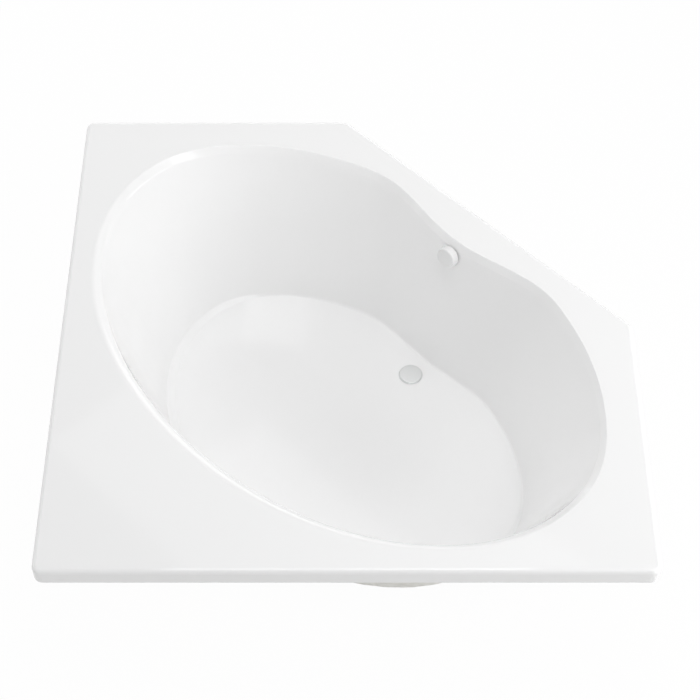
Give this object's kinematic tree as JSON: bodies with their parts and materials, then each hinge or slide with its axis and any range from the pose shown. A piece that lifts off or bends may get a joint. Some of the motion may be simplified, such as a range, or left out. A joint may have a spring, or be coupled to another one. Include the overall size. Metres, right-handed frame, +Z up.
{
  "type": "soaking bathtub",
  "caption": "Five-sided drop-in corner soaking bath: waisted oval bowl in a flat deck with a turned-down lip, on levelling feet, with a knob-worked pop-up waste and overflow.",
  "frame": {"origin": "floor level below the middle of the square that the deck is cut from", "axes": "+Z up; +X and +Y along the two full-length sides of the deck, away from the wall corner; the cut corner faces +X+Y"},
  "size_m": [1.524, 1.524, 0.6],
  "materials": {
    "white_acrylic": "glossy thermoformed sheet",
    "glass_fibre": "sprayed chopped-strand laminate",
    "pine": "sawn softwood",
    "chipboard": "sanded chipboard",
    "zinc_steel": "zinc plated",
    "black_plastic": "moulded",
    "white_plastic": "moulded, glossy",
    "satin_metal": "satin plated",
    "grey_plastic": "moulded polypropylene",
    "black_rubber": "moulded",
    "brass": "turned",
    "cable_grey": "extruded sheath"
  },
  "bodies": {
    "tub": {"acrylic_shell": "white_acrylic", "glass_fibre_backing": "glass_fibre", "overflow_gasket": "black_rubber", "rim_batten_front": "pine", "rim_batten_right": "pine", "rim_batten_angled": "pine", "rim_batten_back": "pine", "rim_batten_left": "pine", "base_board": "chipboard", "leg_rail_rear": "zinc_steel", "leg_rail_front": "zinc_steel", "rail_screws": "zinc_steel", "rail_weld_nuts": "zinc_steel", "foot_lock_nuts": "zinc_steel", "drain_flange": "satin_metal", "drain_gasket": "black_rubber", "drain_shoe": "grey_plastic", "overflow_flange": "grey_plastic", "overflow_screws": "zinc_steel", "overflow_elbow": "grey_plastic", "waste_tee": "grey_plastic", "waste_pipe": "grey_plastic", "overflow_pipe": "grey_plastic", "tail_pipe": "grey_plastic", "slip_washers": "black_rubber", "slip_nut_shoe": "grey_plastic", "slip_nut_tee_inlet": "grey_plastic", "slip_nut_tee_top": "grey_plastic", "slip_nut_tail": "grey_plastic", "slip_nut_overflow": "grey_plastic", "cable_sheath": "cable_grey", "cable_clips": "grey_plastic"},
    "knob": {"overflow_knob": "white_plastic", "knob_spindle": "brass"},
    "lifter": {"lift_pin": "brass"},
    "plug": {"plug_cap": "satin_metal", "plug_seal": "black_rubber", "plug_stem": "brass"},
    "foot_1": {"foot_pad_1": "black_plastic"},
    "stud_1": {"foot_stud_1": "zinc_steel"},
    "foot_2": {"foot_pad_2": "black_plastic"},
    "stud_2": {"foot_stud_2": "zinc_steel"},
    "foot_3": {"foot_pad_3": "black_plastic"},
    "stud_3": {"foot_stud_3": "zinc_steel"},
    "foot_4": {"foot_pad_4": "black_plastic"},
    "stud_4": {"foot_stud_4": "zinc_steel"}
  },
  "joints": [
    {"name": "knob_turn", "type": "hinge", "parent": "tub", "child": "knob", "pos_m": [0.28984, 0.28984, 0.548], "axis": [-0.6965, -0.6965, 0.1728], "range_deg": [-3, 93]},
    {"name": "pin_rise", "type": "slide", "parent": "tub", "child": "lifter", "axis": [0, 0, 1], "range_m": [0, 0.01]},
    {"name": "plug_lift_out", "type": "slide", "parent": "lifter", "child": "plug", "axis": [0, 0, 1], "range_m": [0, 0.07]},
    {"name": "foot_1_raise", "type": "slide", "parent": "tub", "child": "foot_1", "axis": [0, 0, 1], "range_m": [-0.012, 0.012]},
    {"name": "foot_1_screw", "type": "hinge", "parent": "foot_1", "child": "stud_1", "pos_m": [0.06525, -0.39277, 0], "axis": [0, 0, 1], "range_deg": [-2471, 2471]},
    {"name": "foot_2_raise", "type": "slide", "parent": "tub", "child": "foot_2", "axis": [0, 0, 1], "range_m": [-0.012, 0.012]},
    {"name": "foot_2_screw", "type": "hinge", "parent": "foot_2", "child": "stud_2", "pos_m": [-0.39277, 0.06525, 0], "axis": [0, 0, 1], "range_deg": [-2471, 2471]},
    {"name": "foot_3_raise", "type": "slide", "parent": "tub", "child": "foot_3", "axis": [0, 0, 1], "range_m": [-0.012, 0.012]},
    {"name": "foot_3_screw", "type": "hinge", "parent": "foot_3", "child": "stud_3", "pos_m": [0.36127, -0.17174, 0], "axis": [0, 0, 1], "range_deg": [-2471, 2471]},
    {"name": "foot_4_raise", "type": "slide", "parent": "tub", "child": "foot_4", "axis": [0, 0, 1], "range_m": [-0.012, 0.012]},
    {"name": "foot_4_screw", "type": "hinge", "parent": "foot_4", "child": "stud_4", "pos_m": [-0.17174, 0.36127, 0], "axis": [0, 0, 1], "range_deg": [-2471, 2471]}
  ],
  "couplings": [
    {"joint": "knob_turn", "follows": "pin_rise", "rad_per_m": 157.08},
    {"joint": "foot_1_screw", "follows": "foot_1_raise", "rad_per_m": 3590.4},
    {"joint": "foot_2_screw", "follows": "foot_2_raise", "rad_per_m": 3590.4},
    {"joint": "foot_3_screw", "follows": "foot_3_raise", "rad_per_m": 3590.4},
    {"joint": "foot_4_screw", "follows": "foot_4_raise", "rad_per_m": 3590.4}
  ]
}
